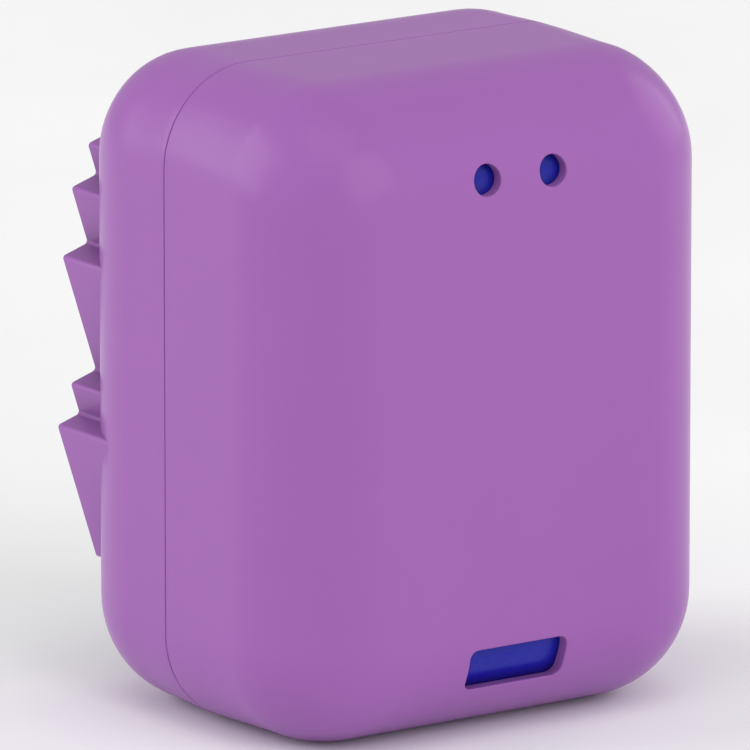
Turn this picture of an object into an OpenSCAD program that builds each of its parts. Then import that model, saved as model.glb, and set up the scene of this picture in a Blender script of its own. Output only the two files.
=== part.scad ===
// Virtual pet keychain: a rounded two-shell case with a blue light tray behind two round
// openings and a slot, and a stepped, tilted plate with a display and three buttons behind.
// Units are millimetres. X is the width, Y runs from the plain front face (-Y) to the
// display side (+Y), and Z is up from the flat base. Depths count from the front face.

/* [Case] */
// Width of the case across the flat sides
case_w = 39.8; // [39:0.1:42]
// Height of the case
case_h = 50; // [49:0.5:54]
// Depth of the case without the stepped plate
case_d = 31; // [31:0.5:34]
// Radius of every outer edge
edge_r = 7.5; // [6.5:0.1:8]
// Thickness of both case shells
shell_t = 0.9; // [0.8:0.05:1.1]
// Depth at which the two shells meet
seam_depth = 17.55; // [17:0.05:18]
// Width of the fine groove between the shells
seam_gap = 0.12; // [0.1:0.01:0.2]

/* [Front openings] */
// Diameter of the two round openings
eye_dia = 2.4; // [2:0.1:3]
// Distance between the centres of the round openings
eye_pitch = 5.94; // [5:0.02:8]
// Height of the round openings above the base
eye_z = 42.9; // [38:0.05:44]
// Width of the slot
slot_w = 8.8; // [6:0.1:10]
// Height of the slot
slot_h = 3.2; // [2:0.1:3.6]
// Height of the slot's centre above the base
slot_z = 5.75; // [5:0.05:7]
// Corner radius of the slot
slot_r = 0.7; // [0.3:0.1:1.2]

/* [Stepped plate] */
// Height of the stepped plate above the case
plate_t = 1.3; // [1.2:0.1:2]
// Tilt of the stepped outline in degrees
plate_tilt = 18; // [14:1:22]
// Depth of the recess that holds the face panel
recess_t = 0.9; // [0.8:0.1:1]

/* [Display] */
// Width of the face panel
panel_w = 26.4; // [26:0.1:27]
// Height of the face panel
panel_h = 32.4; // [32:0.1:33]
// Width of the clear lens
lens_w = 20.4; // [18:0.1:21]
// Height of the clear lens
lens_h = 14.8; // [12:0.1:15]
// Height of the display's centre above the base
display_z = 26.1; // [26:0.1:26.3]

/* [Buttons] */
// Diameter of a button cap
button_dia = 6.4; // [5:0.1:6.5]
// Distance between neighbouring buttons
button_pitch = 8; // [7.8:0.1:8.4]
// Height of the button row above the base
button_z = 12.9; // [12.6:0.1:13]
// Height of a button cap above the stepped plate
button_proud = 0.7; // [0.7:0.1:1.2]

/* [Hidden] */
$fn = 96;

purple = [0.64, 0.43, 0.70];
blue = [0.17, 0.16, 0.62];
white = [0.93, 0.93, 0.9];
black = [0.1, 0.1, 0.12];
green = [0.06, 0.36, 0.22];
steel = [0.72, 0.73, 0.75];

total_d = case_d + plate_t + button_proud;
mid_z = case_h / 2;
inner_back = case_d - shell_t;
plate_back = case_d + plate_t;
recess_floor = plate_back - recess_t;
fit_gap = 0.05;
slip = 0.1;

// Tray behind the front shell
tray_t = 1;
tray_inset = shell_t + fit_gap;
tray_edge = 16;
boss_r = [2.4, 1.9];
boss_end = 16.9;

// Lip and hooks that locate the rear shell
lip_t = 0.8;
lip_reach = 1.4;
lip_root = 2;
hook_x = 9;
hook_w = 4;
hook_tip = 12.5;
hook_barb = 1.2;
hook_t = 0.9;
hook_lead = 0.2;
hook_catch = 0.25;
window_slack = 0.4;

// Screws that join the shells
screw_x = 10.6;
screw_z = 38.3;
well_r = 1.8;
well_wall = 0.8;
well_floor = 18.6;
well_end = 17.1;
screw_r = 1;
screw_head_r = 1.7;
screw_head_t = 1.2;
screw_tip = 11;
cross_size = [2, 0.45];
cross_depth = 0.5;
thread_gap = 0.02;

// Main circuit board, which hangs on four posts of the rear shell
board_front = 23;
board_back = 24.2;
board_w = 33.4;
board_z = [6.5, 45.5];
post_x = 15;
post_z = [14, 33];
post_r = 1.6;
post_end = 29;
pin_r = 0.7;
pin_head_r = 1.3;
pin_head_t = 0.7;
pin_l = 3.8;

// Face panel, whose middle is this far above the button row
panel_rise = 11.5;
panel_r = 3;
lens_r = 1;
lens_ledge = 0.6;

// Display stack
lcd_w = 24;
lcd_h = 17.2;
lcd_t = 1.8;
lcd_ledge = 1.5;
lcd_back = 29.7;
frame_wall = 0.7;
guide_w = 20.8;
guide_h = 13.1;
strip_w = 21.6;
strip_t = 1;
strip_out = 7.6;

// Buttons and their rubber mat
hole_gap = 0.15;
flange_r = 3.6;
flange_t = 0.8;
dish = 0.25;
dish_r = 14;
foot_r = 1.2;
foot_end = 27.6;
mat_t = 0.8;
mat_w = 24;
mat_h = 7.2;
dome_r = 3;
dome_wall = 0.4;
dome_cap = 0.9;

// Sounder and its three holes
sounder_w = 7.5;
sounder_z = 39.25;
sounder_t = 3;
sounder_hole_r = 0.8;
sound_hole_r = 0.5;
sound_pitch = 1.8;
sound_z = 38.8;
sound_gasket_r = [2.6, 3.2];

// Battery, its frame, pad and leads
mid_back = 16.4;
mid_t = 1;
mid_w = 33;
mid_z_range = [5.5, 43];
cell_w = 28;
cell_z = [6.7, 34.1];
cell_t = 6.8;
pad_w = 12;
pad_h = 20;
pad_z = 24;
rim_t = 1;
rim_front = 9.5;
lead_r = 0.4;
lead_x = [-5.6, -4.2];
lead_mid = (lead_x[0] + lead_x[1]) / 2;
lead_z = 38;
lead_bend = 1.6;
lead_depth = 12;
plug_depth = [17.4, 20];
plug_size = [4.4, 3];
plug_wall = 0.4;
lead_window = [3.4, 5];

// Light board and its fixings
light_front = 5.8;
light_t = 0.8;
light_w = 14;
light_z = [3.8, 46];
light_post_r = 1.7;
light_post_z = [11, 37.5];
led_size = [2.8, 1.6, 2];
ribbon_w = 6;
ribbon_t = 0.2;
ribbon_z = 44.3;
socket_size = [8, 2, 1.8];

// Charging socket in the side wall
port_z = 23.5;
port_w = 8.94;
port_t = 3.2;
port_l = 7.3;
port_wall = 0.3;
port_r = 1.2;
port_floor = 1;
tongue_t = 0.7;
tongue_w = 6.6;
tongue_back = 0.5;
port_mouth = 19.6;
port_centre = board_front - port_t / 2;

// ---------- shapes shared by the parts ----------

module rounded_rect(w, h, r) {
    square([w - 2 * r, h], center = true);
    square([w, h - 2 * r], center = true);
    for (sx = [-1, 1], sz = [-1, 1])
        translate([sx * (w / 2 - r), sz * (h / 2 - r)]) circle(r);
}

// Extrudes an outline drawn in X and Z from one depth to another.
module plate(from, to) {
    translate([0, to - total_d / 2, 0]) rotate([90, 0, 0]) linear_extrude(to - from) children();
}

module rod(x, z, r, from, to) {
    plate(from, to) translate([x, z]) circle(r);
}

module block(x, z, w, h, from, to) {
    plate(from, to) translate([x, z]) square([w, h], center = true);
}

// Solid of the case, moved inwards by the inset on every side.
module case_solid(inset) {
    r = edge_r - inset;
    w = case_w - 2 * inset;
    h = case_h - 2 * inset;
    d = case_d - 2 * inset;
    translate([0, (case_d - total_d) / 2, mid_z]) {
        linear_extrude(h - 2 * r, center = true) rounded_rect(w, d, r);
        rotate([90, 0, 0]) linear_extrude(d - 2 * r, center = true) rounded_rect(w, h, r);
        rotate([90, 0, 90]) linear_extrude(w - 2 * r, center = true) rounded_rect(d, h, r);
        for (sx = [-1, 1], sy = [-1, 1], sz = [-1, 1])
            translate([sx * (w / 2 - r), sy * (d / 2 - r), sz * (h / 2 - r)]) sphere(r);
    }
}

module between(from, to) {
    block(0, mid_z, 2 * case_w, 2 * case_h, from, to);
}

module case_ring(outer, inner, from, to) {
    plate(from, to) translate([0, mid_z]) difference() {
        rounded_rect(case_w - 2 * outer, case_h - 2 * outer, edge_r - outer);
        rounded_rect(case_w - 2 * inner, case_h - 2 * inner, edge_r - inner);
    }
}

// A flank of the stepped outline: each step goes out by one tread and down by one riser.
treads = [0, 2.4, 2.4, 2.4, 2.1];
risers = [2.55, 4.65, 9.6, 2.55, 11.3];
flank_top = [-10.8, 21.1];
function total(list, count) = count == 0 ? 0 : list[count - 1] + total(list, count - 1);
flank = [
    for (i = [0 : len(treads) - 1], end = [0, 1])
        [flank_top[0] - total(treads, i + 1), flank_top[1] - total(risers, i + end)]
];
crown = [[17.8, 9.55], [17.8, 14.1], [13.1, 14.1], [13.1, 16.4], [8.4, 16.4], [8.4, 18.8],
         [1.3, 18.8], [1.3, 21.1]];
half_outline = concat(crown, flank);

module stepped_outline() {
    translate([0, mid_z]) rotate(plate_tilt)
        polygon(concat(half_outline, [for (p = half_outline) -p]));
}

module panel_outline(grow) {
    translate([0, button_z + panel_rise])
        rounded_rect(panel_w + 2 * grow, panel_h + 2 * grow, panel_r + grow);
}

module lens_outline(w, h) {
    translate([0, display_z]) rounded_rect(w, h, lens_r);
}

module button_holes(from, to) {
    for (i = [-1 : 1])
        rod(i * button_pitch, button_z, button_dia / 2 + hole_gap, from, to);
}

module sound_holes(from, to) {
    for (i = [-1 : 1]) rod(i * sound_pitch, sound_z, sound_hole_r, from, to);
}

module small_screw(x, z, seat, way) {
    tip = seat + way * pin_l;
    head = seat - way * pin_head_t;
    rod(x, z, pin_r, min(seat, tip), max(seat, tip));
    rod(x, z, pin_head_r, min(seat, head), max(seat, head));
}

// ---------- case ----------

module front_shell() {
    color(purple) difference() {
        intersection() {
            case_solid(0);
            between(-1, seam_depth - seam_gap / 2);
        }
        case_solid(shell_t);
        for (s = [-1, 1]) rod(s * eye_pitch / 2, eye_z, eye_dia / 2, -1, 2 * shell_t);
        plate(-1, 4) translate([0, slot_z]) rounded_rect(slot_w, slot_h, slot_r);
    }
}

module rear_shell() {
    color(purple) {
        difference() {
            union() {
                intersection() {
                    case_solid(0);
                    between(seam_depth + seam_gap / 2, case_d + 1);
                }
                plate(seam_depth + seam_gap, plate_back) stepped_outline();
            }
            case_solid(shell_t);
            plate(recess_floor, plate_back + 1) panel_outline(slip);
            plate(inner_back - 1, plate_back)
                lens_outline(lens_w - 2 * lens_ledge, lens_h - 2 * lens_ledge);
            button_holes(inner_back - 1, plate_back);
            sound_holes(inner_back - 1, plate_back);
            for (s = [-1, 1]) rod(s * screw_x, screw_z, well_r, inner_back - 1, plate_back);
            charge_opening();
        }
        case_ring(shell_t - fit_gap, tray_inset + lip_t, seam_depth + seam_gap / 2,
                  seam_depth + lip_root);
        case_ring(tray_inset, tray_inset + lip_t, seam_depth - lip_reach,
                  seam_depth + seam_gap);
        for (s = [-1, 1]) {
            screw_well(s * screw_x);
            hook(s * hook_x);
            for (z = post_z) board_post(s * post_x, z);
        }
    }
}

module charge_opening() {
    translate([case_w / 2, port_centre - total_d / 2, port_z]) rotate([90, 0, 90])
        linear_extrude(4, center = true)
            rounded_rect(port_t + 2 * slip, port_w + 2 * slip, port_r + slip);
}

module screw_well(x) {
    difference() {
        rod(x, screw_z, well_r + well_wall, well_end, inner_back + fit_gap);
        rod(x, screw_z, well_r, well_floor, plate_back);
        rod(x, screw_z, screw_r + slip, well_end - 1, plate_back);
    }
}

module board_post(x, z) {
    difference() {
        rod(x, z, post_r, board_back, post_end);
        rod(x, z, pin_r + thread_gap, board_back - 1, board_front + pin_l + 0.5);
    }
}

// A springy arm whose barb snaps into a window in the tray's floor.
module hook(x) {
    inner = tray_inset + tray_t + fit_gap;
    root = seam_depth + seam_gap;
    barb_end = tray_inset + hook_catch;
    barb_tip = hook_tip + hook_lead;
    block(x, inner + hook_t / 2, hook_w, hook_t, hook_tip, root + lip_root);
    block(x, (inner + shell_t) / 2, hook_w, inner - shell_t + hook_lead, root + slip,
          root + lip_root);
    block(x, (inner + barb_end) / 2, hook_w, inner - barb_end, barb_tip, barb_tip + hook_barb);
}

module light_tray() {
    color(blue) difference() {
        union() {
            difference() {
                intersection() {
                    case_solid(tray_inset);
                    between(-1, tray_edge);
                }
                case_solid(tray_inset + tray_t);
            }
            for (s = [-1, 1]) tray_boss(s * screw_x);
            for (z = light_post_z) tray_post(z);
        }
        for (s = [-1, 1]) {
            rod(s * screw_x, screw_z, screw_r + thread_gap, screw_tip - 1, seam_depth);
            block(s * hook_x, tray_inset, hook_w + window_slack, 2 * tray_t + window_slack,
                  hook_tip, hook_tip + hook_barb + window_slack);
        }
        for (z = light_post_z)
            rod(0, z, pin_r + thread_gap, light_front - pin_l + light_t, light_front + 1);
    }
}

module tray_boss(x) {
    front = tray_inset + tray_t / 2;
    rod(x, screw_z, boss_r[0], front, mid_back - mid_t);
    rod(x, screw_z, boss_r[1], front, boss_end);
}

module tray_post(z) {
    rod(0, z, light_post_r, tray_inset + tray_t / 2, light_front);
}

module shell_screws() {
    color(steel) for (s = [-1, 1]) {
        rod(s * screw_x, screw_z, screw_r, screw_tip, well_floor + fit_gap);
        difference() {
            rod(s * screw_x, screw_z, screw_head_r, well_floor + fit_gap,
                well_floor + screw_head_t);
            for (turn = [0, 90])
                plate(well_floor + screw_head_t - cross_depth, well_floor + 2)
                    translate([s * screw_x, screw_z]) rotate(turn)
                        square(cross_size, center = true);
        }
    }
}

// ---------- display side ----------

module face_panel() {
    color(black) difference() {
        plate(recess_floor + fit_gap, plate_back - fit_gap) difference() {
            panel_outline(0);
            lens_outline(lens_w + slip, lens_h + slip);
        }
        button_holes(recess_floor, plate_back);
        sound_holes(recess_floor, plate_back);
    }
}

module display_lens() {
    color([0.8, 0.88, 0.9, 0.4])
        plate(recess_floor + fit_gap, plate_back - fit_gap) lens_outline(lens_w, lens_h);
}

module lcd_gasket() {
    color(black) plate(lcd_back, inner_back) translate([0, display_z]) difference() {
        rounded_rect(lcd_w, lcd_h - 0.4, lens_r);
        rounded_rect(lens_w, lens_h, lens_r);
    }
}

module lcd_glass() {
    color([0.62, 0.68, 0.55]) {
        block(0, display_z, lcd_w, lcd_h, lcd_back - lcd_t, lcd_back - lcd_t / 2);
        block(0, display_z, lcd_w, lcd_h - 2 * lcd_ledge, lcd_back - lcd_t / 2, lcd_back);
    }
}

module lcd_frame() {
    pocket = lcd_back - lcd_t;
    outer = frame_wall + slip;
    color(white) difference() {
        block(0, display_z, lcd_w + 2 * outer, lcd_h + 2 * outer, board_back, lcd_back - 0.2);
        block(0, display_z, lcd_w + 2 * slip, lcd_h + 2 * slip, pocket, lcd_back);
        block(0, display_z, guide_w + 2 * slip, guide_h + 2 * slip, board_back - 1, pocket + 1);
        for (s = [-1, 1])
            block(0, display_z + s * strip_out, strip_w + 2 * slip, strip_t + slip,
                  board_back - 1, pocket + 1);
    }
}

module backlight() {
    color([0.9, 0.95, 1])
        block(0, display_z, guide_w, guide_h, board_back + slip, lcd_back - lcd_t - slip);
}

module contact_strips() {
    color([0.9, 0.55, 0.6]) for (s = [-1, 1])
        block(0, display_z + s * strip_out, strip_w, strip_t, board_back, lcd_back - lcd_t);
}

module button(x) {
    top = plate_back + button_proud;
    flange_top = inner_back - slip;
    color(blue) {
        difference() {
            rod(x, button_z, button_dia / 2, flange_top - flange_t, top);
            translate([x, top - total_d / 2 + dish_r - dish, button_z]) sphere(dish_r);
        }
        rod(x, button_z, flange_r, flange_top - flange_t, flange_top);
        rod(x, button_z, foot_r, foot_end, flange_top - flange_t / 2);
    }
}

module button_left() { button(-button_pitch); }
module button_middle() { button(0); }
module button_right() { button(button_pitch); }

// Rubber mat with one hollow dome under each button.
module keypad() {
    color([0.75, 0.75, 0.78]) {
        difference() {
            block(0, button_z, mat_w, mat_h, board_back, board_back + mat_t);
            for (i = [-1 : 1])
                rod(i * button_pitch, button_z, dome_r - dome_wall, board_back - 1, board_back + 2);
        }
        for (i = [-1 : 1]) translate([i * button_pitch, board_back - total_d / 2, button_z])
            rotate([-90, 0, 0]) rotate_extrude() dome_profile();
    }
}

module dome_profile() {
    top = foot_end - board_back;
    neck = foot_r + dome_wall;
    polygon([[dome_r, mat_t / 2], [dome_r, mat_t], [neck, top], [0, top], [0, top - dome_cap],
             [neck - dome_wall, top - dome_cap], [dome_r - dome_wall, mat_t],
             [dome_r - dome_wall, mat_t / 2]]);
}

// ---------- main board ----------

module main_board() {
    color(green) plate(board_front, board_back) difference() {
        translate([0, (board_z[0] + board_z[1]) / 2])
            rounded_rect(board_w, board_z[1] - board_z[0], 3);
        for (s = [-1, 1]) {
            translate([s * screw_x, screw_z]) circle(well_r + well_wall + 0.2);
            for (z = post_z) translate([s * post_x, z]) circle(pin_r + 0.1);
        }
    }
}

// Each small part is [x, z, width, height, thickness].
chip = [1, 25, 7, 7, 0.9];
crystal_size = [-6.5, 23, 3.2, 1.6, 1.1];
inductor = [-12, 11, 3, 1.6, 1.4];
regulator = [6, 13, 2.2, 2.2, 1];
chip_row = [for (i = [0 : 4]) [-11.5 + 2.2 * i, 31, 1, 0.6, 0.5]];
chip_column = [for (i = [0 : 3]) [-8 + 1.8 * i, 18, 0.6, 1, 0.5]];

module on_board(p) {
    block(p[0], p[1], p[2], p[3], board_front - p[4], board_front);
}

module processor_chip() {
    color(black) on_board(chip);
}

module crystal() {
    p = crystal_size;
    color(steel) plate(board_front - p[4], board_front) translate([p[0], p[1]])
        rounded_rect(p[2], p[3], 0.5);
}

module board_parts() {
    color([0.72, 0.6, 0.42])
        for (p = concat([inductor, regulator], chip_row, chip_column)) on_board(p);
}

module board_screws() {
    color(steel) for (s = [-1, 1], z = post_z) small_screw(s * post_x, z, board_front, 1);
}

module sounder() {
    color(black) difference() {
        block(0, sounder_z, sounder_w, sounder_w, board_back, board_back + sounder_t);
        rod(0, sounder_z, sounder_hole_r, board_back + 1, board_back + sounder_t + 1);
    }
}

module sound_gasket() {
    color([0.3, 0.3, 0.32]) plate(board_back + sounder_t, inner_back)
        translate([0, sounder_z]) difference() {
            circle(sound_gasket_r[1]);
            circle(sound_gasket_r[0]);
        }
}

// ---------- battery ----------

module mid_frame() {
    front = mid_back - mid_t;
    cell_mid = (cell_z[0] + cell_z[1]) / 2;
    cell_h = cell_z[1] - cell_z[0];
    color(white) difference() {
        union() {
            plate(front, mid_back) translate([0, (mid_z_range[0] + mid_z_range[1]) / 2])
                rounded_rect(mid_w, mid_z_range[1] - mid_z_range[0], 3);
            plate(rim_front, mid_back) translate([0, cell_mid])
                rounded_rect(cell_w + 2 * (rim_t + slip), cell_h + 2 * (rim_t + slip), 2);
        }
        plate(rim_front - 1, front) translate([0, cell_mid])
            rounded_rect(cell_w + 2 * slip, cell_h + 2 * slip, 1.4);
        for (s = [-1, 1]) rod(s * screw_x, screw_z, boss_r[1] + slip, front - 1, mid_back + 1);
        block(lead_mid, lead_z - 1.5, lead_window[0], lead_window[1], rim_front - 1,
              mid_back + 1);
    }
}

module battery_cell() {
    back = mid_back - mid_t;
    color([0.78, 0.79, 0.82]) plate(back - cell_t, back)
        translate([0, (cell_z[0] + cell_z[1]) / 2])
            rounded_rect(cell_w, cell_z[1] - cell_z[0], 1.4);
}

module battery_pad() {
    color([0.25, 0.25, 0.28])
        block(0, pad_z, pad_w, pad_h, light_front + light_t, mid_back - mid_t - cell_t);
}

// Two leads rise from the cell, bend once and run back into the plug.
module battery_leads() {
    colours = [[0.75, 0.1, 0.1], black];
    for (i = [0, 1]) color(colours[i])
        translate([lead_x[i], lead_depth - total_d / 2, 0]) {
            translate([0, 0, cell_z[1]]) cylinder(h = lead_z - lead_bend - cell_z[1], r = lead_r);
            translate([0, lead_bend, lead_z - lead_bend]) rotate([90, 0, -90])
                rotate_extrude(angle = 90) translate([lead_bend, 0]) circle(lead_r);
            translate([0, lead_bend, lead_z]) rotate([-90, 0, 0])
                cylinder(h = plug_depth[0] - lead_depth - lead_bend, r = lead_r);
        }
}

module battery_plug() {
    color(white)
        block(lead_mid, lead_z, plug_size[0], plug_size[1], plug_depth[0], plug_depth[1]);
}

module battery_socket() {
    color([0.86, 0.84, 0.76])
        block(lead_mid, lead_z, plug_size[0] + plug_wall, plug_size[1] + plug_wall,
              plug_depth[1], board_front);
}

// ---------- light board ----------

module light_board() {
    color(white) difference() {
        plate(light_front, light_front + light_t)
            translate([0, (light_z[0] + light_z[1]) / 2])
                rounded_rect(light_w, light_z[1] - light_z[0], 2);
        for (z = light_post_z) rod(0, z, pin_r + 0.1, light_front - 1, light_front + 2);
    }
}

module light_leds() {
    color([0.98, 0.97, 0.85]) for (at = [[-eye_pitch / 2, eye_z], [eye_pitch / 2, eye_z],
                                         [0, slot_z + 0.8]])
        block(at[0], at[1], led_size[0], led_size[2], light_front - led_size[1], light_front);
}

module light_board_screws() {
    color(steel) for (z = light_post_z) small_screw(0, z, light_front + light_t, -1);
}

module ribbon_sockets() {
    color([0.9, 0.88, 0.8]) {
        block(0, ribbon_z, socket_size[0], socket_size[2], light_front + light_t,
              light_front + light_t + socket_size[1]);
        block(0, ribbon_z, socket_size[0], socket_size[2], board_front - socket_size[1],
              board_front);
    }
}

module light_ribbon() {
    color([0.9, 0.62, 0.25])
        block(0, ribbon_z, ribbon_w, ribbon_t, light_front + light_t + socket_size[1],
              board_front - socket_size[1]);
}

// ---------- charging socket ----------

module along_port(from, to) {
    translate([from, port_centre - total_d / 2, port_z]) rotate([90, 0, 90])
        linear_extrude(to - from) children();
}

module charge_port() {
    back = port_mouth - port_l;
    color(steel) difference() {
        along_port(back, port_mouth) rounded_rect(port_t, port_w, port_r);
        along_port(back + port_floor, port_mouth + 1)
            rounded_rect(port_t - 2 * port_wall, port_w - 2 * port_wall, port_r - port_wall);
    }
}

module port_tongue() {
    color(black) along_port(port_mouth - port_l + port_floor, port_mouth - tongue_back)
        square([tongue_t, tongue_w], center = true);
}

front_shell();
rear_shell();
light_tray();
face_panel();
display_lens();
lcd_gasket();
lcd_glass();
lcd_frame();
backlight();
contact_strips();
main_board();
processor_chip();
crystal();
board_parts();
board_screws();
sounder();
sound_gasket();
keypad();
button_left();
button_middle();
button_right();
shell_screws();
mid_frame();
battery_cell();
battery_pad();
battery_leads();
battery_plug();
battery_socket();
light_board();
light_leds();
light_board_screws();
ribbon_sockets();
light_ribbon();
charge_port();
port_tongue();
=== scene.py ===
import math

import bmesh
import bpy
from mathutils import Matrix, Vector


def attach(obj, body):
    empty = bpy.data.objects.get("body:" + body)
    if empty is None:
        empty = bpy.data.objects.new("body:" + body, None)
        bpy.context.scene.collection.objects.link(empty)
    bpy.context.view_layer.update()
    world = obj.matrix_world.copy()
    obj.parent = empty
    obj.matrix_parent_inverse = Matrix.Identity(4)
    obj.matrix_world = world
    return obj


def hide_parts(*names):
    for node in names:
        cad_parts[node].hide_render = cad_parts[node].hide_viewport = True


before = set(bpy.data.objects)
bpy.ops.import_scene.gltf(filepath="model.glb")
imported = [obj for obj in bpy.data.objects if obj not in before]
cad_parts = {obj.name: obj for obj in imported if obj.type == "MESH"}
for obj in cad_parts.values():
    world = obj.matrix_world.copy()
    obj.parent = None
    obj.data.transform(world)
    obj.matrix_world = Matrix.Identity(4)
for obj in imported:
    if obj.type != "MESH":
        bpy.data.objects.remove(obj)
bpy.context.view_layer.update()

MM = 0.001
HALF_DEPTH = 16.5    # the front face's distance in front of the origin, mm
CASE_W, CASE_H, CASE_D = 39.8, 50.0, 31.0
MID_Z = CASE_H / 2
MIDDLE = 17.5        # depth from which both halves of the case's shape are measured
SEAM = 17.55         # depth at which the shells meet, from the front face
WALL = 0.9
TRAY_INSET, TRAY_T, TRAY_EDGE = 0.95, 1.0, 16.0
PLATE_BACK = 32.3    # depth of the stepped plate's face
RECESS_FLOOR = 31.4
BUTTON_TOP = 33.0
BUTTON_PITCH, BUTTON_Z, BUTTON_R = 8.0, 12.9, 3.2
PANEL_W, PANEL_H, PANEL_Z, PANEL_R = 26.4, 32.4, 24.4, 3.0
LENS_W, LENS_H, LENS_R, DISPLAY_Z = 20.4, 14.8, 1.0, 26.1
SOUND_X, SOUND_Z, SOUND_R = (-1.8, 0.0, 1.8), 38.8, 0.5
BUTTON_GAP = 0.15    # between a cap and the hole it runs in
FACE_GAP = 0.05      # in front of and behind the panel and the lens in their recess
CREASE_ANGLE = 32    # edges that turn by more than this many degrees stay sharp
NORMAL_WEIGHT = 60   # how far large faces lead in the weighted normals
MITRE_LIMIT = 0.3    # keeps a grown outline's sharp corners from shooting out
OVERRUN = 1.0        # how far a cutter passes the face that it cuts


def at(x, depth, z):
    """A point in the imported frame, in metres, from millimetres."""
    return (x * MM, (depth - HALF_DEPTH) * MM, z * MM)


# ---------- mesh helpers ----------

def link(name, mesh):
    obj = bpy.data.objects.new(name, mesh)
    bpy.context.scene.collection.objects.link(obj)
    return obj


def to_object(name, bm):
    bmesh.ops.recalc_face_normals(bm, faces=bm.faces)
    mesh = bpy.data.meshes.new(name)
    bm.to_mesh(mesh)
    bm.free()
    return link(name, mesh)


def skin(bm, rows, wrap=False):
    """Quads between successive closed rows of points, with a cap on each end.

    With wrap, the last row joins the first instead, which makes a closed ring.
    """
    made = [[bm.verts.new(p) for p in row] for row in rows]
    pairs = list(zip(made, made[1:])) + ([(made[-1], made[0])] if wrap else [])
    for a, b in pairs:
        for i in range(len(a)):
            j = (i + 1) % len(a)
            bm.faces.new((a[i], a[j], b[j], b[i]))
    if not wrap:
        bm.faces.new(made[0])
        bm.faces.new(made[-1])


def loft(name, rows, wrap=False):
    bm = bmesh.new()
    skin(bm, rows, wrap)
    return to_object(name, bm)


def combine(target, tool, operation):
    """Joins the tool to the target, or cuts it out of it, and removes the tool."""
    m = target.modifiers.new("boolean", "BOOLEAN")
    m.operation, m.object, m.solver = operation, tool, "MANIFOLD"
    deps = bpy.context.evaluated_depsgraph_get()
    mesh = bpy.data.meshes.new_from_object(target.evaluated_get(deps))
    target.modifiers.clear()
    old, target.data = target.data, mesh
    bpy.data.meshes.remove(old)
    bpy.data.objects.remove(tool)
    return target


def join(name, parts):
    """One object from parts that don't touch one another."""
    bm = bmesh.new()
    for p in parts:
        bm.from_mesh(p.data)
        bpy.data.objects.remove(p)
    mesh = bpy.data.meshes.new(name)
    bm.to_mesh(mesh)
    bm.free()
    return link(name, mesh)


def smooth(obj, angle=CREASE_ANGLE):
    obj.data.shade_smooth()
    obj.data.set_sharp_from_angle(angle=math.radians(angle))
    m = obj.modifiers.new("normals", "WEIGHTED_NORMAL")
    m.keep_sharp, m.weight = True, NORMAL_WEIGHT
    return obj


def rounded_rect(w, h, r, z=0.0, x=0.0, corner=16, side=10):
    """Points (x, z) around a rounded rectangle; every size has the same count."""
    arcs = []
    for k, (sx, sz) in enumerate([(1, -1), (1, 1), (-1, 1), (-1, -1)]):
        cx, cz = x + sx * (w / 2 - r), z + sz * (h / 2 - r)
        arcs.append([(cx + r * math.cos(math.pi / 2 * (k - 1 + i / corner)),
                      cz + r * math.sin(math.pi / 2 * (k - 1 + i / corner)))
                     for i in range(corner + 1)])
    points = []
    for k in range(4):
        (x0, z0), (x1, z1) = arcs[k][-1], arcs[(k + 1) % 4][0]
        points += arcs[k]
        points += [(x0 + (x1 - x0) * i / side, z0 + (z1 - z0) * i / side)
                   for i in range(1, side)]
    return points


def circle(x, z, r, count=64):
    return [(x + r * math.cos(2 * math.pi * i / count), z + r * math.sin(2 * math.pi * i / count))
            for i in range(count)]


def grown(points, distance):
    """The closed outline moved out by a distance, each point along its own normal."""
    out = []
    n = len(points)
    for i, (x, z) in enumerate(points):
        px, pz = points[i - 1]
        qx, qz = points[(i + 1) % n]
        a, b = Vector((x - px, z - pz)).normalized(), Vector((qx - x, qz - z)).normalized()
        na, nb = Vector((a.y, -a.x)), Vector((b.y, -b.x))
        normal = na + nb
        normal /= max(normal.dot(na), MITRE_LIMIT)
        out.append((x + normal.x * distance, z + normal.y * distance))
    return out


def rounded_polygon(corners, convex, concave, steps=6):
    """A polygon, counter-clockwise, with an arc in place of each corner."""
    out = []
    n = len(corners)
    for i, c in enumerate(corners):
        p, v, q = Vector(corners[i - 1]), Vector(c), Vector(corners[(i + 1) % n])
        a, b = (p - v).normalized(), (q - v).normalized()
        turn = (v - p).x * (q - v).y - (v - p).y * (q - v).x
        r = convex if turn > 0 else concave
        half = a.angle(b) / 2
        centre = v + (a + b).normalized() * (r / math.sin(half))
        start, end = v + a * (r / math.tan(half)), v + b * (r / math.tan(half))
        s, e = start - centre, end - centre
        sweep = math.atan2(s.x * e.y - s.y * e.x, s.dot(e))
        for k in range(steps + 1):
            t = sweep * k / steps
            out.append((centre.x + s.x * math.cos(t) - s.y * math.sin(t),
                        centre.y + s.x * math.sin(t) + s.y * math.cos(t)))
    return out


QUARTER = [math.pi / 2 * i / 5 for i in range(6)]


def slab(name, outline, front, back, front_edge=0.0, back_edge=0.0):
    """An outline extruded along the depth, with rounded front and back edges."""
    rows = []
    if front_edge:
        rows += [(front_edge * (1 - math.sin(t)), front + front_edge * (1 - math.cos(t)))
                 for t in QUARTER[:-1]]
    rows += [(0.0, front + front_edge), (0.0, back - back_edge)]
    if back_edge:
        rows += [(back_edge * (1 - math.cos(t)), back - back_edge * (1 - math.sin(t)))
                 for t in QUARTER[1:]]
    return loft(name, [[at(x, d, z) for x, z in (grown(outline, -i) if i else outline)]
                       for i, d in rows])


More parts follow.
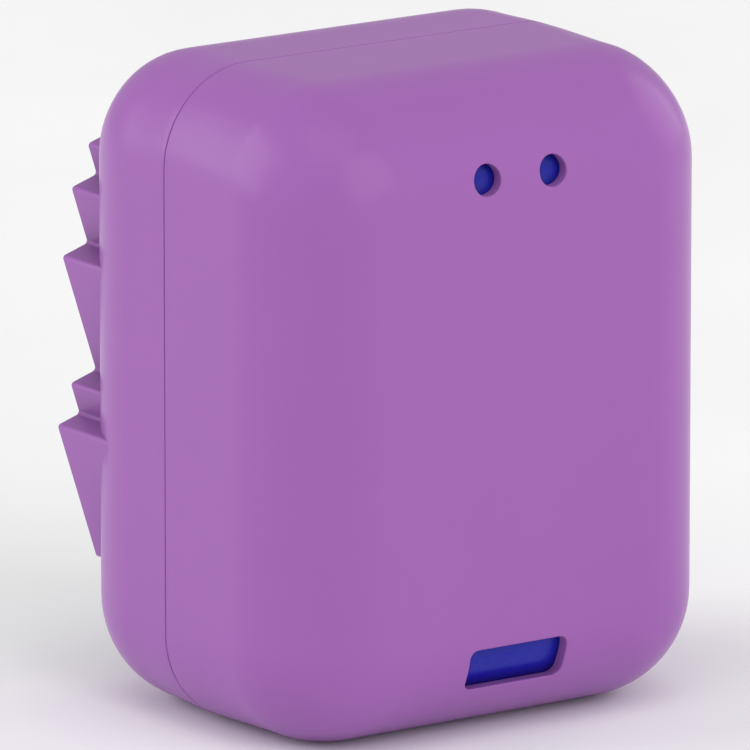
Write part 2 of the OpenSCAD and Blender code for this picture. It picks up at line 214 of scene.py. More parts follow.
def cutter(outline, front, back, rim, at_back=True, surface=None):
    """A cutter that leaves a rounded rim where it meets a face at the front or back depth."""
    mouth, inner, way = (back, front, -1) if at_back else (front, back, 1)
    rows = [(rim, mouth - way * OVERRUN)]
    rows += [(rim * (1 - math.sin(t)), mouth + way * rim * (1 - math.cos(t))) for t in QUARTER]
    rows += [(0.0, inner)]
    rings = []
    for grow, depth in rows:
        points = grown(outline, grow) if grow else outline
        ring = []
        for x, z in points:
            lift = surface(z) if surface and depth != inner else 0.0
            ring.append(at(x, depth + lift, z))
        rings.append(ring)
    return loft("cutter", rings)


def along_x(outline, rows):
    """A solid along X: outline points are (depth, z), rows are (grow, x)."""
    rings = []
    for grow, x in rows:
        points = grown(outline, grow) if grow else outline
        rings.append([at(x, d, z) for d, z in points])
    return loft("cutter", rings)


def lathe(name, x, z, profile, count=64):
    """A solid turned about a line along the depth; profile is (radius, depth)."""
    return loft(name, [[at(px, d, pz) for px, pz in circle(x, z, r, count)] for r, d in profile])


# ---------- the case's outer surface ----------
# Each fillet is a quarter ellipse, a across the face and b along the depth, in mm. Its corner
# radius r changes with the angle from the wall, in degrees. These numbers, the corner radius
# at the seam and the camera's come from a fit to the photo's outline.
FRONT_FILLET = {"a": 8.139, "b": 8.987,
                "r": [(0, 7.98), (12, 8.05), (25, 7.71), (40, 6.62), (60, 4.72), (90, 2.8)]}
REAR_FILLET = {"a": 5.68, "b": 8.275,
               "r": [(0, 7.85), (20, 7.39), (45, 6.62), (90, 5.85)]}
SEAM_CORNER = 7.375
FACE_RINGS = (9.6, 7.5, 5.4, 3.6, 2.2, 1.2, 0.5)    # distances inside the fillet's edge
FACE_RING_SHRINK, FACE_RING_R = 0.6, 0.5            # their radius shrinks down to a smallest
FILLET_STEPS, WALL_STEPS = 26, 7


def eased(table, t):
    """A smooth curve through the table's points, level at both ends."""
    xs, ys = [p[0] for p in table], [p[1] for p in table]
    slope = [0.0] + [(ys[i + 1] - ys[i - 1]) / (xs[i + 1] - xs[i - 1])
                     for i in range(1, len(xs) - 1)] + [0.0]
    for i in range(len(xs) - 1):
        if t <= xs[i + 1]:
            h = xs[i + 1] - xs[i]
            u = (t - xs[i]) / h
            return ((2 * u**3 - 3 * u**2 + 1) * ys[i] + (u**3 - 2 * u**2 + u) * h * slope[i]
                    + (3 * u**2 - 2 * u**3) * ys[i + 1] + (u**3 - u**2) * h * slope[i + 1])
    return ys[-1]


def profile(fillet, reach, inset):
    """(distance from the middle depth, inset, corner radius), from the middle of the face
    to the middle depth, for the surface moved inwards by inset."""
    a, b = fillet["a"], fillet["b"]
    start = reach - b
    flat_r = fillet["r"][-1][1]
    rows = []
    for grow in FACE_RINGS:
        rows.append((reach - inset, a + grow, max(FACE_RING_R, flat_r - FACE_RING_SHRINK * grow)))
    for k in range(FILLET_STEPS, -1, -1):
        t = 90 * k / FILLET_STEPS
        c, s = math.cos(math.radians(t)), math.sin(math.radians(t))
        n = math.hypot(c / a, s / b)
        out, along = c / a / n, s / b / n
        rows.append((start + b * s - inset * along, a * (1 - c) + inset * out,
                     eased(fillet["r"], t) - inset * out))
    wall_r = fillet["r"][0][1]
    for k in range(1, WALL_STEPS):
        u = k / WALL_STEPS
        e = u * u * (3 - 2 * u)
        rows.append((start * (1 - u), inset, wall_r + (SEAM_CORNER - wall_r) * e - inset))
    return rows


def case_ring(depth, inset, radius):
    return [at(x, depth, z) for x, z in
            rounded_rect(CASE_W - 2 * inset, CASE_H - 2 * inset, radius, MID_Z)]


def front_rows(inset, last=None):
    """Rings of the front half from the front face towards the seam, or to a last depth."""
    rows = [(MIDDLE - d, i, r) for d, i, r in profile(FRONT_FILLET, MIDDLE, inset)]
    return [row for row in rows if last is None or row[0] < last]


def rear_rows(inset):
    return [(MIDDLE + d, i, r) for d, i, r in profile(REAR_FILLET, CASE_D - MIDDLE, inset)]


def front_depth(z):
    """Depth of the outer surface below or above the flat front, away from the corners."""
    inset = min(z, CASE_H - z)
    a, b = FRONT_FILLET["a"], FRONT_FILLET["b"]
    if inset >= a:
        return 0.0
    c = 1 - inset / a
    return b * (1 - math.sqrt(1 - c * c))


# ---------- camera, light and floor ----------
AZIMUTH, ELEVATION, ROLL = -35.537, 13.299, 0.084
DISTANCE, FOCAL = 962.355, 620.86
TARGET = Vector((0.0, -8.5, 25.0))
AIM_RIGHT, AIM_UP = -6.171, 1.264
SENSOR_W, CLIP_START, CLIP_END = 36.0, 0.05, 20.0
# Name, azimuth and elevation in degrees, power in watts
LAMPS = (("rear_left", -126, 22, 50.7), ("above", -30, 64, 19.5), ("front", 8, 25, 34.0),
         ("right", 85, 23, 24.8))
LAMP_DISTANCE, LAMP_SIZE = 3.0, 2.3     # m
SKY = 0.46
FLOOR_HALF = 40                         # m


def place_camera():
    az, el = math.radians(AZIMUTH), math.radians(ELEVATION)
    back = Vector((math.sin(az) * math.cos(el), -math.cos(az) * math.cos(el), math.sin(el)))
    right = Vector((0, 0, 1)).cross(back).normalized()
    up = back.cross(right)
    place = TARGET + DISTANCE * back
    look = (TARGET + AIM_RIGHT * right + AIM_UP * up - place).normalized()
    side = look.cross(up).normalized()
    above = side.cross(look)
    turn = Matrix((side, above, -look)).transposed() @ Matrix.Rotation(math.radians(ROLL), 3, "Z")
    data = bpy.data.cameras.new("camera")
    data.sensor_width, data.lens = SENSOR_W, FOCAL
    data.clip_start, data.clip_end = CLIP_START, CLIP_END
    camera = bpy.data.objects.new("camera", data)
    camera.matrix_world = Matrix.Translation(place * MM) @ turn.to_4x4()
    bpy.context.scene.collection.objects.link(camera)
    bpy.context.scene.camera = camera


def area_light(name, azimuth, elevation, power):
    """A soft square light that looks at the middle of the case."""
    az, el = math.radians(azimuth), math.radians(elevation)
    way = Vector((math.sin(az) * math.cos(el), -math.cos(az) * math.cos(el), math.sin(el)))
    data = bpy.data.lights.new(name, "AREA")
    data.shape, data.size, data.energy = "SQUARE", LAMP_SIZE, power
    light = bpy.data.objects.new(name, data)
    light.rotation_mode = "QUATERNION"
    light.location = Vector((0, 0, MID_Z * MM)) + way * LAMP_DISTANCE
    light.rotation_quaternion = way.to_track_quat("Z", "Y")
    light.visible_camera = False
    bpy.context.scene.collection.objects.link(light)


def sky(strength):
    world = bpy.data.worlds.new("studio")
    world.use_nodes = True
    background = world.node_tree.nodes["Background"]
    background.inputs["Color"].default_value = (1.0, 1.0, 1.0, 1.0)
    background.inputs["Strength"].default_value = strength
    bpy.context.scene.world = world


# ---------- materials ----------
NOISE_LOW, NOISE_HIGH = 0.3, 0.7        # nearly all of a noise's values lie between these
OCCLUSION_SAMPLES = 16
TONE_MM, GLOSS_MM = 6.0, 2.5            # feature sizes of a moulding's tone and gloss


class Shader:
    """A Principled material with a few procedural helpers."""

    def __init__(self, name, **sockets):
        self.material = bpy.data.materials.new(name)
        self.material.use_nodes = True
        self.tree = self.material.node_tree
        self.shader = self.tree.nodes["Principled BSDF"]
        for key, value in sockets.items():
            self.shader.inputs[key.replace("_", " ")].default_value = value
        self.place = self.node("ShaderNodeTexCoord").outputs["Object"]

    def node(self, kind, **values):
        made = self.tree.nodes.new(kind)
        for key, value in values.items():
            if hasattr(made, key):
                setattr(made, key, value)
            else:
                made.inputs[key.replace("_", " ")].default_value = value
        return made

    def wire(self, source, target):
        self.tree.links.new(source, target)

    def noise(self, size_mm, detail=3.0, roughness=0.5):
        """Noise whose features are about size_mm across."""
        noise = self.node("ShaderNodeTexNoise", Scale=1.0 / (size_mm * MM), Detail=detail,
                          Roughness=roughness)
        self.wire(self.place, noise.inputs["Vector"])
        return noise.outputs["Fac"]

    def colour(self, factor, low, high, start=0.35, end=0.65):
        """A base colour that goes from low to high while the factor goes from start to end."""
        ramp = self.node("ShaderNodeValToRGB")
        ends = ramp.color_ramp.elements
        ends[0].position, ends[1].position = start, end
        ends[0].color, ends[1].color = (*low, 1), (*high, 1)
        self.wire(factor, ramp.inputs["Fac"])
        self.wire(ramp.outputs["Color"], self.shader.inputs["Base Color"])

    def crevice_shade(self, reach_mm, loss, local):
        """Painted shade: darkens the base colour in narrow corners, where shade falls, by up to
        loss.
        """
        base = self.shader.inputs["Base Color"]
        colour = base.links[0].from_socket
        near = self.node("ShaderNodeAmbientOcclusion", Distance=reach_mm * MM,
                         samples=OCCLUSION_SAMPLES, only_local=local)
        share = self.node("ShaderNodeMapRange", To_Min=1.0 - loss, To_Max=1.0)
        self.wire(near.outputs["AO"], share.inputs["Value"])
        mix = self.node("ShaderNodeMixRGB", blend_type="MULTIPLY", Fac=1.0)
        self.wire(colour, mix.inputs["Color1"])
        self.wire(share.outputs["Result"], mix.inputs["Color2"])
        self.wire(mix.outputs["Color"], base)

    def rough(self, factor, low, high):
        span = self.node("ShaderNodeMapRange", From_Min=NOISE_LOW, From_Max=NOISE_HIGH,
                         To_Min=low, To_Max=high)
        self.wire(factor, span.inputs["Value"])
        self.wire(span.outputs["Result"], self.shader.inputs["Roughness"])

    def bump(self, height, depth_mm):
        bump = self.node("ShaderNodeBump", Strength=1.0, Distance=depth_mm * MM)
        self.wire(height, bump.inputs["Height"])
        self.wire(bump.outputs["Normal"], self.shader.inputs["Normal"])


def tint(colour, share):
    return tuple(min(1.0, c * share) for c in colour)


def moulded(name, colour, rough, vary=0.03, grain_mm=0.35, grain=0.004, uneven=0.07,
            crevice_shade=None, **sockets):
    """Moulded plastic: cloudy tone, slightly uneven gloss and, if asked for, a fine grain and
    painted shade darkening its crevices, given as (reach in mm, share lost, whether only the piece
    itself counts)."""
    s = Shader(name, **sockets)
    s.colour(s.noise(TONE_MM, detail=4.0), tint(colour, 1 - vary), tint(colour, 1 + vary))
    # Painted shade: the base colour darkens in crevices.
    if crevice_shade:
        s.crevice_shade(*crevice_shade)
    s.rough(s.noise(GLOSS_MM, detail=3.0), rough * (1 - uneven), rough * (1 + uneven))
    if grain:
        s.bump(s.noise(grain_mm, detail=2.0), grain)
    return s.material


def dress(obj, material):
    obj.data.materials.clear()
    obj.data.materials.append(material)
    return obj


# Linear colours
PURPLE = (0.335, 0.1245, 0.417)
BLUE = (0.004, 0.008, 0.345)

SATIN = 0.28         # roughness of the case and the tray
PLAIN = {"vary": 0.006, "grain": 0, "uneven": 0.015, "Specular_IOR_Level": 0.17}
FLOOR_TONES = (0.90, 0.90, 0.90), (0.93, 0.93, 0.93)

purple = moulded("purple_satin", PURPLE, SATIN, **PLAIN)
# The rear shell's copy of the purple carries painted shade: its colour darkens in crevices, such
# as the notches between the steps.
purple_rear_shaded = moulded("purple_satin_rear_shaded", PURPLE, SATIN, crevice_shade=(5.0, 0.8, True), **PLAIN)
# The tray's blue carries painted shade: its colour darkens near the case's edges, around the eyes
# and the slot.
blue = moulded("blue_satin", BLUE, SATIN, vary=0.03, grain=0.001, crevice_shade=(1.2, 0.5, False),
               Specular_IOR_Level=0.36)


def make_floor():
    h = FLOOR_HALF
    mesh = bpy.data.meshes.new("floor")
    mesh.from_pydata([(-h, -h, 0), (h, -h, 0), (h, h, 0), (-h, h, 0)], [], [(0, 1, 2, 3)])
    look = Shader("floor_pale", Specular_IOR_Level=0.2)
    look.colour(look.noise(60.0), *FLOOR_TONES)
    look.rough(look.noise(90.0), 0.85, 0.95)
    return dress(link("floor", mesh), look.material)


bpy.context.scene.view_settings.view_transform = "Standard"
place_camera()
sky(SKY)
for name, azimuth, elevation, power in LAMPS:
    area_light(name, azimuth, elevation, power)
floor = make_floor()

# ---------- front shell ----------
RIM_R = 0.09         # rounding of the shells' edges at the seam
GROOVE = 0.06        # gap between the shells' rims
EYE_X, EYE_Z, EYE_R = 2.97, 42.9, 1.2
SLOT_W, SLOT_H, SLOT_R, SLOT_Z = 8.8, 3.2, 0.7, 5.75
HOLE_RIM = 0.12      # rounding of the openings' edges
EYE_CUT, SLOT_CUT = 2.0, 4.0


def rim_rows(edge, way, inner):
    """Rings over a shell's rounded edge at the seam, then across it to an inner inset."""
    rows = [(edge - way * RIM_R * (1 - math.sin(t)), RIM_R * (1 - math.cos(t)),
             SEAM_CORNER - RIM_R * (1 - math.cos(t))) for t in QUARTER]
    if inner:
        rows.append((edge, inner, SEAM_CORNER - inner))
    return rows


def make_front_shell():
    edge = SEAM - GROOVE / 2
    rows = front_rows(0.0) + rim_rows(edge, 1, WALL) + front_rows(WALL)[::-1]
    shell = loft("front_shell_satin", [case_ring(*r) for r in rows])
    cuts = [cutter(circle(s * EYE_X, EYE_Z, EYE_R, 72), 0.0, EYE_CUT, HOLE_RIM, False, front_depth)
            for s in (-1, 1)]
    slot = rounded_rect(SLOT_W, SLOT_H, SLOT_R, SLOT_Z, corner=10, side=8)
    cuts.append(cutter(slot, 0.0, SLOT_CUT, HOLE_RIM, False, front_depth))
    return smooth(combine(shell, join("cuts", cuts), "DIFFERENCE"))


front = dress(make_front_shell(), purple)
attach(front, "case")
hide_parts("front_shell")

# ---------- light tray ----------
SCREW_X, SCREW_Z = 10.6, 38.3
HOOK_X, HOOK_W = 9.0, 4.0
# Rods are (radius, front, back, operation)
TRAY_BOSS = ((2.4, 1.5, 15.4, "UNION"), (1.9, 15.0, 16.9, "UNION"),
             (1.02, 10.0, 17.5, "DIFFERENCE"))
LIGHT_POST = ((1.7, 1.5, 5.8, "UNION"), (0.72, 2.8, 6.8, "DIFFERENCE"))
LIGHT_POSTS_Z = (11.0, 37.5)
WINDOW_SLIP, WINDOW_H, WINDOW_FRONT, WINDOW_BACK = 0.4, 2.4, 12.5, 14.1


def rod(x, z, radius, front, back, count=40):
    return slab("rod", circle(x, z, radius, count), front, back)


def add_rods(target, x, z, rods):
    for radius, front, back, operation in rods:
        combine(target, rod(x, z, radius, front, back), operation)


def block(x, z, w, h, front, back):
    outline = [(x - w / 2, z - h / 2), (x + w / 2, z - h / 2), (x + w / 2, z + h / 2),
               (x - w / 2, z + h / 2)]
    return slab("block", outline, front, back)


def make_tray():
    outer, inner = front_rows(TRAY_INSET, TRAY_EDGE), front_rows(TRAY_INSET + TRAY_T, TRAY_EDGE)
    edge = [(TRAY_EDGE, TRAY_INSET, SEAM_CORNER - TRAY_INSET),
            (TRAY_EDGE, TRAY_INSET + TRAY_T, SEAM_CORNER - TRAY_INSET - TRAY_T)]
    tray = loft("light_tray_blue", [case_ring(*r) for r in outer + edge + inner[::-1]])
    for s in (-1, 1):
        add_rods(tray, s * SCREW_X, SCREW_Z, TRAY_BOSS)
        combine(tray, block(s * HOOK_X, TRAY_INSET, HOOK_W + WINDOW_SLIP, WINDOW_H, WINDOW_FRONT,
                            WINDOW_BACK), "DIFFERENCE")
    for z in LIGHT_POSTS_Z:
        add_rods(tray, 0, z, LIGHT_POST)
    return smooth(tray)


tray = dress(make_tray(), blue)
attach(tray, "case")
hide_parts("light_tray")

# ---------- rear shell ----------
TILT = math.radians(18)
TREADS = (0, 2.4, 2.4, 2.4, 2.1)
RISERS = (2.55, 4.65, 9.6, 2.55, 11.3)
FLANK_TOP = (-10.8, 21.1)
CROWN = [(17.8, 9.55), (17.8, 14.1), (13.1, 14.1), (13.1, 16.4), (8.4, 16.4), (8.4, 18.8),
         (1.3, 18.8), (1.3, 21.1)]
RIDGE_R, VALLEY_R = 0.28, 0.3
PLATE_ROOT, PLATE_EDGE = SEAM + 0.4, 0.12
INNER_FRONT = SEAM - 0.5
LIP = ((16.1, 0.95), (17.65, 0.95), (17.65, 0.8), (19.5, 0.8), (19.5, 1.75),
       (16.1, 1.75))     # (depth, inset) around the lip's section
WELL = ((2.6, 17.1, 30.5, "UNION"),)
WELL_BORES = ((1.1, 16.0, 20.0, "DIFFERENCE"), (1.8, 18.6, 32.0, "DIFFERENCE"))
BOARD_POST = ((1.6, 24.2, 30.3, "UNION"), (0.72, 23.2, 27.3, "DIFFERENCE"))
BOARD_POSTS_X, BOARD_POSTS_Z = 15.0, (14.0, 33.0)
# Arm, foot and barb of a snap hook: (z, height, front, back)
HOOK = ((2.45, 0.9, 12.5, 19.6), (1.45, 1.3, 17.8, 19.6), (1.7, 1.0, 12.7, 13.9))
PANEL_SLIP = 0.1         # between the panel and the side of its recess
LENS_LEDGE = 0.6         # how far the shell reaches under the lens's edge
CUT_FRONT, CUT_BACK = 29.0, 32.0
PORT_DEPTH, PORT_Z = 21.4, 23.5
PORT_T, PORT_W, PORT_R = 3.4, 9.14, 1.3
PORT_MOUTH = ((0.15, 21.0), (0.15, 19.9), (0.1, 19.86), (0.04, 19.8), (0.0, 19.72),
              (0.0, 17.0))     # (grow, x) from outside the wall to inside


def stepped_outline():
    """The tilted stepped outline: each flank steps out by one tread and down by one riser."""
    flank = []
    x, z = FLANK_TOP
    for tread, riser in zip(TREADS, RISERS):
        x -= tread
        flank += [(x, z), (x, z - riser)]
        z -= riser
    half = CROWN + flank
    whole = half + [(-x, -z) for x, z in half]
    c, s = math.cos(TILT), math.sin(TILT)
    turned = [(c * x - s * z, s * x + c * z + MID_Z) for x, z in whole]
    return rounded_polygon(turned, RIDGE_R, VALLEY_R)


def add_inner_features(shell):
    """Screw wells, board posts and snap hooks inside the rear shell."""
    for s in (-1, 1):
        add_rods(shell, s * SCREW_X, SCREW_Z, WELL)
        for z in BOARD_POSTS_Z:
            add_rods(shell, s * BOARD_POSTS_X, z, BOARD_POST)
        for z, height, front, back in HOOK:
            combine(shell, block(s * HOOK_X, z, HOOK_W, height, front, back), "UNION")
        add_rods(shell, s * SCREW_X, SCREW_Z, WELL_BORES)


def make_rear_shell():
    edge = SEAM + GROOVE / 2
    shell = loft("rear_shell_satin",
                 [case_ring(*r) for r in rear_rows(0.0) + rim_rows(edge, -1, 0)])
    steps = slab("steps", stepped_outline(), PLATE_ROOT, PLATE_BACK, back_edge=PLATE_EDGE)
    combine(shell, steps, "UNION")
    inner = rear_rows(WALL) + [(INNER_FRONT, WALL, SEAM_CORNER - WALL)]
    combine(shell, loft("inner", [case_ring(*r) for r in inner]), "DIFFERENCE")
    lip = [case_ring(d, i, SEAM_CORNER - i) for d, i in LIP]
    combine(shell, loft("lip", lip, wrap=True), "UNION")
    add_inner_features(shell)
    recess = rounded_rect(PANEL_W + 2 * PANEL_SLIP, PANEL_H + 2 * PANEL_SLIP,
                          PANEL_R + PANEL_SLIP, PANEL_Z)
    combine(shell, cutter(recess, RECESS_FLOOR, PLATE_BACK, PLATE_EDGE), "DIFFERENCE")
    window = rounded_rect(LENS_W - 2 * LENS_LEDGE, LENS_H - 2 * LENS_LEDGE, LENS_R, DISPLAY_Z)
    through = [slab("cut", window, CUT_FRONT, CUT_BACK)]
    through += [rod(i * BUTTON_PITCH, BUTTON_Z, BUTTON_R + BUTTON_GAP, CUT_FRONT, CUT_BACK, 64)
                for i in (-1, 0, 1)]
    through += [rod(x, SOUND_Z, SOUND_R, CUT_FRONT, CUT_BACK, 32) for x in SOUND_X]
    through.append(along_x(rounded_rect(PORT_T, PORT_W, PORT_R, PORT_Z, PORT_DEPTH), PORT_MOUTH))
    return smooth(combine(shell, join("cuts", through), "DIFFERENCE"))


rear = dress(make_rear_shell(), purple_rear_shaded)
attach(rear, "case")
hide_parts("rear_shell")

# ---------- face panel, lens and display ----------
PANEL_FRONT, PANEL_BACK = RECESS_FLOOR + FACE_GAP, PLATE_BACK - FACE_GAP
PANEL_EDGE, LENS_RIM, BUTTON_RIM, SOUND_RIM = 0.16, 0.08, 0.14, 0.1
LENS_SLIP = 0.05         # between the lens and its hole in the panel
LENS_EDGE_FRONT, LENS_EDGE_BACK = 0.05, 0.1
MASK_FRONT, MASK_BACK = RECESS_FLOOR + 0.02, RECESS_FLOOR + 0.045
MASK_INSET = 0.05        # from the lens's outline to the mask's
MASK_CUT_FRONT, MASK_CUT_BACK = 31.0, 32.0
BORDER_X, BORDER_Z, BORDER_R = 1.3, 1.2, 0.6


def make_panel():
    outline = rounded_rect(PANEL_W, PANEL_H, PANEL_R, PANEL_Z)
    panel = slab("face_panel_gloss", outline, PANEL_FRONT, PANEL_BACK, back_edge=PANEL_EDGE)
    lens_hole = rounded_rect(LENS_W + 2 * LENS_SLIP, LENS_H + 2 * LENS_SLIP, LENS_R + LENS_SLIP,
                             DISPLAY_Z)
    holes = [(lens_hole, LENS_RIM)]
    holes += [(circle(i * BUTTON_PITCH, BUTTON_Z, BUTTON_R + BUTTON_GAP, 72), BUTTON_RIM)
              for i in (-1, 0, 1)]
    holes += [(circle(x, SOUND_Z, SOUND_R, 32), SOUND_RIM) for x in SOUND_X]
    cuts = [cutter(hole, PANEL_FRONT - OVERRUN, PANEL_BACK, rim) for hole, rim in holes]
    return smooth(combine(panel, join("cuts", cuts), "DIFFERENCE"))


panel_black = moulded("panel_black", (0.008, 0.008, 0.011), 0.12, vary=0.15, grain=0.0006,
                      Specular_IOR_Level=0.35)
panel = dress(make_panel(), panel_black)
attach(panel, "case")
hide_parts("face_panel")


def clear_lens():
    """Clear acrylic: a thin reflection over what lies behind it."""
    s = Shader("lens_clear")
    t = s.tree
    t.nodes.remove(s.shader)
    see = s.node("ShaderNodeBsdfTransparent", Color=(0.93, 0.96, 0.95, 1.0))
    shine = s.node("ShaderNodeBsdfGlossy", Roughness=0.03)
    noise = s.noise(8.0)
    bump = s.node("ShaderNodeBump", Strength=0.3, Distance=0.01 * MM)
    s.wire(noise, bump.inputs["Height"])
    s.wire(bump.outputs["Normal"], shine.inputs["Normal"])
    # Only a face seen from outside reflects: the rays don't bend in here, so the inner
    # face would mirror everything beyond the critical angle.
    edge = s.node("ShaderNodeFresnel", IOR=1.45)
    side = s.node("ShaderNodeNewGeometry")
    outer = s.node("ShaderNodeMapRange", To_Min=1.0, To_Max=0.0)
    s.wire(side.outputs["Backfacing"], outer.inputs["Value"])
    share = s.node("ShaderNodeMath", operation="MULTIPLY")
    s.wire(edge.outputs["Fac"], share.inputs[0])
    s.wire(outer.outputs["Result"], share.inputs[1])
    mix = s.node("ShaderNodeMixShader")
    s.wire(share.outputs["Value"], mix.inputs[0])
    s.wire(see.outputs["BSDF"], mix.inputs[1])
    s.wire(shine.outputs["BSDF"], mix.inputs[2])
    s.wire(mix.outputs["Shader"], t.nodes["Material Output"].inputs["Surface"])
    return s.material


lens = slab("display_lens_clear", rounded_rect(LENS_W, LENS_H, LENS_R, DISPLAY_Z),
            PANEL_FRONT, PANEL_BACK, LENS_EDGE_FRONT, LENS_EDGE_BACK)
dress(smooth(lens), clear_lens())
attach(lens, "case")
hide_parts("display_lens")



def make_mask():
    """A black border printed on the lens's inner face."""
    outline = rounded_rect(LENS_W - 2 * MASK_INSET, LENS_H - 2 * MASK_INSET, LENS_R - MASK_INSET,
                           DISPLAY_Z)
    window = rounded_rect(LENS_W - 2 * BORDER_X, LENS_H - 2 * BORDER_Z, BORDER_R, DISPLAY_Z)
    return combine(slab("lens_mask", outline, MASK_FRONT, MASK_BACK),
                   slab("cut", window, MASK_CUT_FRONT, MASK_CUT_BACK), "DIFFERENCE")


mask = dress(make_mask(), moulded("mask_black", (0.006, 0.006, 0.007), 0.4, vary=0.2))
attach(mask, "case")

# Each picture is drawn in dots; the place is its left bottom corner in dots.
HEART = ["##.##", "#####", "#####", ".###.", "..#.."]
HEART_OPEN = ["##.##", "#.#.#", "#...#", ".#.#.", "..#.."]
PAW = ["...##....##...", "..####..####..", "..####..####..", "##.##....##.##", "###........###",
       "###..####..###", ".#..######..#.", "...########...", "..##########..", "..##########..",
       "...###..###..."]
BATTERY = ["###########.", "#.........#.", "#.###.###.##", "#.###.###.##", "#.........#.",
           "###########."]
GROUND = ["#" * 38]
PICTURES = [(HEART, 5, 25), (HEART, 12, 25), (HEART_OPEN, 19, 25), (BATTERY, 32, 24),
            (PAW, 17, 9), (GROUND, 5, 5)]
DOT, DOT_SIDE, DOTS_LEFT, DOTS_LOW = 0.4, 0.35, -9.6, DISPLAY_Z - 6.8
LCD_FACE = 29.7
DOT_FRONT, DOT_BACK = LCD_FACE + 0.002, LCD_FACE + 0.02


def make_dots():
    bm = bmesh.new()
    half = DOT_SIDE / 2
    for rows, left, low in PICTURES:
        for j, row in enumerate(reversed(rows)):
            for i, mark in enumerate(row):
                if mark == "#":
                    x = -(DOTS_LEFT + (left + i + 0.5) * DOT)
                    z = DOTS_LOW + (low + j + 0.5) * DOT
                    square = [(x - half, z - half), (x + half, z - half), (x + half, z + half),
                              (x - half, z + half)]
                    skin(bm, [[at(px, d, pz) for px, pz in square]
                              for d in (DOT_FRONT, DOT_BACK)])
    return to_object("lcd_dots", bm)


dots = dress(make_dots(), moulded("dot_dark", (0.022, 0.026, 0.02), 0.35, vary=0.2))
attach(dots, "case")

# ---------- buttons ----------
CAP_EDGE, CAP_EDGE_STEPS = 0.34, 8
DISH, DISH_R = 0.25, 14.0
DISH_RINGS, DISH_SPAN = 13, 12.6      # the span keeps the last ring just off the axis
CAP_CREASE_ANGLE = 40
# Stem, flange and skirt of a cap: (radius, depth)
CAP_ROOT = ((1.2, 27.6), (1.2, 29.2), (3.52, 29.2), (3.6, 29.28), (3.6, 29.92), (3.52, 30.0),
            (BUTTON_R, 30.0), (BUTTON_R, 31.2))


def button_profile():
    rows = list(CAP_ROOT)
    for i in range(CAP_EDGE_STEPS + 1):
        t = math.pi / 2 * i / CAP_EDGE_STEPS
        rows.append((BUTTON_R - CAP_EDGE * (1 - math.cos(t)),
                     BUTTON_TOP - CAP_EDGE * (1 - math.sin(t))))
    rim = math.sqrt(DISH_R**2 - (DISH_R - DISH)**2)
    for k in range(DISH_RINGS):
        r = rim * (1 - k / DISH_SPAN)
        rows.append((r, BUTTON_TOP - DISH + DISH_R - math.sqrt(DISH_R**2 - r * r)))
    return rows


button_blue = moulded("button_blue", (0.003, 0.006, 0.33), 0.22, vary=0.04, grain=0.0008,
                      Specular_IOR_Level=0.35)
for side, name in ((-1, "button_left"), (0, "button_middle"), (1, "button_right")):
    cap = lathe(name + "_cap", side * BUTTON_PITCH, BUTTON_Z, button_profile())
    dress(smooth(cap, CAP_CREASE_ANGLE), button_blue)
    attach(cap, name)
    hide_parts(name)

# ---------- looks of the inner CAD nodes ----------
BAND_PERIOD = math.pi / 10       # spacing of a wave texture's bands at scale 1
LINE_START, LINE_END = 0.78, 0.9     # part of the wave that a band's line takes
LEADS_MIDDLE_X = -4.9


def banded(name, colour, lines, rough, width_mm, direction="X", **sockets):
    """A base colour crossed by fine parallel lines of another colour."""
    s = Shader(name, **sockets)
    wave = s.node("ShaderNodeTexWave", Scale=BAND_PERIOD / (width_mm * MM), Distortion=0.0,
                  bands_direction=direction)
    s.wire(s.place, wave.inputs["Vector"])
    s.colour(wave.outputs["Fac"], colour, lines, LINE_START, LINE_END)
    s.rough(s.noise(2.0), rough * 0.9, rough * 1.1)
    s.bump(wave.outputs["Fac"], 0.01)
    return s.material


def crinkled(name, colour, rough, size_mm, height, **sockets):
    """Thin sheet or foil with soft crinkles."""
    s = Shader(name, **sockets)
    s.colour(s.noise(size_mm, 5.0), tint(colour, 0.9), tint(colour, 1.05))
    s.rough(s.noise(size_mm / 2), rough * 0.8, rough * 1.25)
    s.bump(s.noise(size_mm, 6.0, 0.6), height)
    return s.material


def foamed(name, colour, cell_mm):
    s = Shader(name)
    cells = s.node("ShaderNodeTexVoronoi", Scale=1.0 / (cell_mm * MM))
    s.wire(s.place, cells.inputs["Vector"])
    s.colour(cells.outputs["Distance"], tint(colour, 0.7), tint(colour, 1.2), 0.1, 0.8)
    s.rough(s.noise(1.0), 0.85, 0.97)
    s.bump(cells.outputs["Distance"], 0.06)
    return s.material


def display_face():
    """A grey-green liquid crystal with a faint grid of dots."""
    s = Shader("lcd_face")
    grid = s.node("ShaderNodeTexBrick", Scale=1.0 / MM, Mortar_Size=0.045, Brick_Width=DOT,
                  Row_Height=DOT, offset=0.0)
    mapping = s.node("ShaderNodeMapping", Rotation=(math.pi / 2, 0, 0))
    s.wire(s.place, mapping.inputs["Vector"])
    s.wire(mapping.outputs["Vector"], grid.inputs["Vector"])
    s.colour(grid.outputs["Fac"], (0.36, 0.42, 0.27), (0.42, 0.48, 0.32), 0.0, 1.0)
    s.rough(s.noise(3.0), 0.3, 0.36)
    s.bump(s.noise(0.5), 0.001)
    return s.material


def two_leads():
    """Red insulation on one lead and black on the other."""
    s = Shader("leads_red_black")
    part = s.node("ShaderNodeSeparateXYZ")
    s.wire(s.place, part.inputs["Vector"])
    split = s.node("ShaderNodeMath", operation="GREATER_THAN")
    s.wire(part.outputs["X"], split.inputs[0])
    split.inputs[1].default_value = LEADS_MIDDLE_X * MM
    s.colour(split.outputs["Value"], (0.45, 0.01, 0.01), (0.015, 0.015, 0.017), 0.4, 0.6)
    s.rough(s.noise(0.6), 0.4, 0.5)
    s.bump(s.noise(0.4), 0.005)
    return s.material


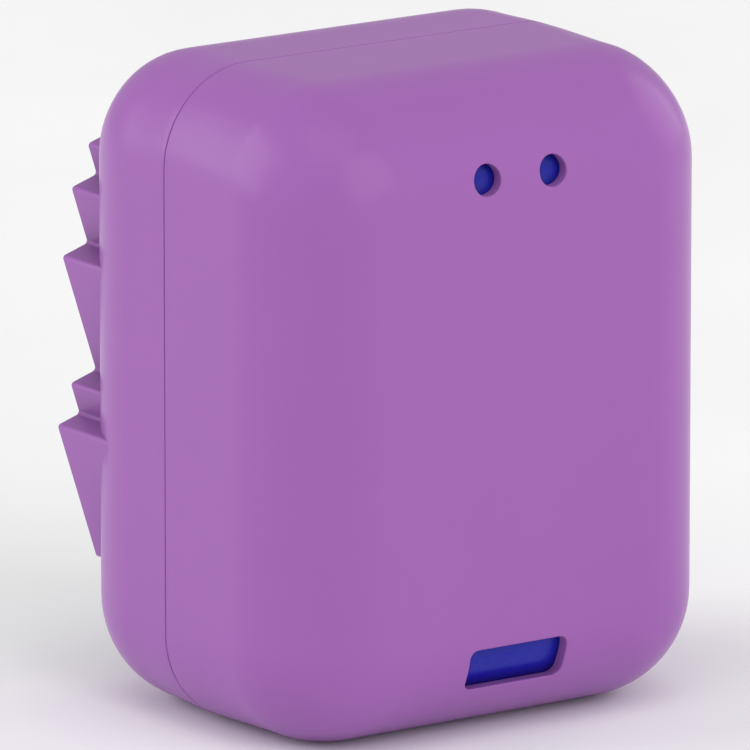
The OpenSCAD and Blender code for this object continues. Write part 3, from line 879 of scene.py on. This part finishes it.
steel = banded("steel_plated", (0.55, 0.56, 0.58), (0.50, 0.51, 0.53), 0.28, 0.12, "Z",
               Metallic=1.0)
white_plastic = moulded("white_plastic", (0.78, 0.78, 0.74), 0.45)
cream_plastic = moulded("cream_plastic", (0.72, 0.69, 0.58), 0.4)
foam = foamed("foam_dark", (0.03, 0.03, 0.035), 0.3)
rubber = moulded("silicone_grey", (0.42, 0.42, 0.46), 0.6, vary=0.05, grain=0.004,
                 Subsurface_Weight=0.1)
chip_black = moulded("chip_black", (0.02, 0.02, 0.022), 0.5, vary=0.15, grain_mm=0.12,
                     grain=0.008)
LOOKS = {
    "lcd_gasket": foam, "sound_gasket": foam, "battery_pad": foam,
    "lcd_glass": display_face(), "lcd_frame": white_plastic, "mid_frame": white_plastic,
    "backlight": moulded("light_guide", (0.80, 0.86, 0.90), 0.2, Transmission_Weight=0.2),
    "contact_strips": banded("contact_strip", (0.55, 0.25, 0.28), (0.03, 0.03, 0.03), 0.6, 0.2),
    "main_board": banded("board_green", (0.012, 0.12, 0.05), (0.02, 0.19, 0.08), 0.3, 0.8),
    "light_board": banded("board_white", (0.78, 0.78, 0.76), (0.68, 0.68, 0.66), 0.35, 1.2),
    "processor_chip": chip_black, "sounder": chip_black, "port_tongue": chip_black,
    "crystal": steel, "board_screws": steel, "shell_screws": steel,
    "light_board_screws": steel, "charge_port": steel,
    "board_parts": moulded("ceramic_tan", (0.45, 0.33, 0.20), 0.4, vary=0.15, grain=0.005),
    "keypad": rubber,
    "battery_cell": crinkled("foil_silver", (0.60, 0.61, 0.64), 0.3, 3.0, 0.03, Metallic=1.0),
    "battery_leads": two_leads(),
    "battery_plug": white_plastic, "battery_socket": cream_plastic,
    "ribbon_sockets": cream_plastic,
    "light_leds": moulded("led_lens", (0.85, 0.80, 0.45), 0.25, vary=0.06),
    "light_ribbon": banded("ribbon_copper", (0.55, 0.24, 0.05), (0.75, 0.42, 0.15), 0.3, 0.5),
}
for name, material in LOOKS.items():
    dress(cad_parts[name], material)
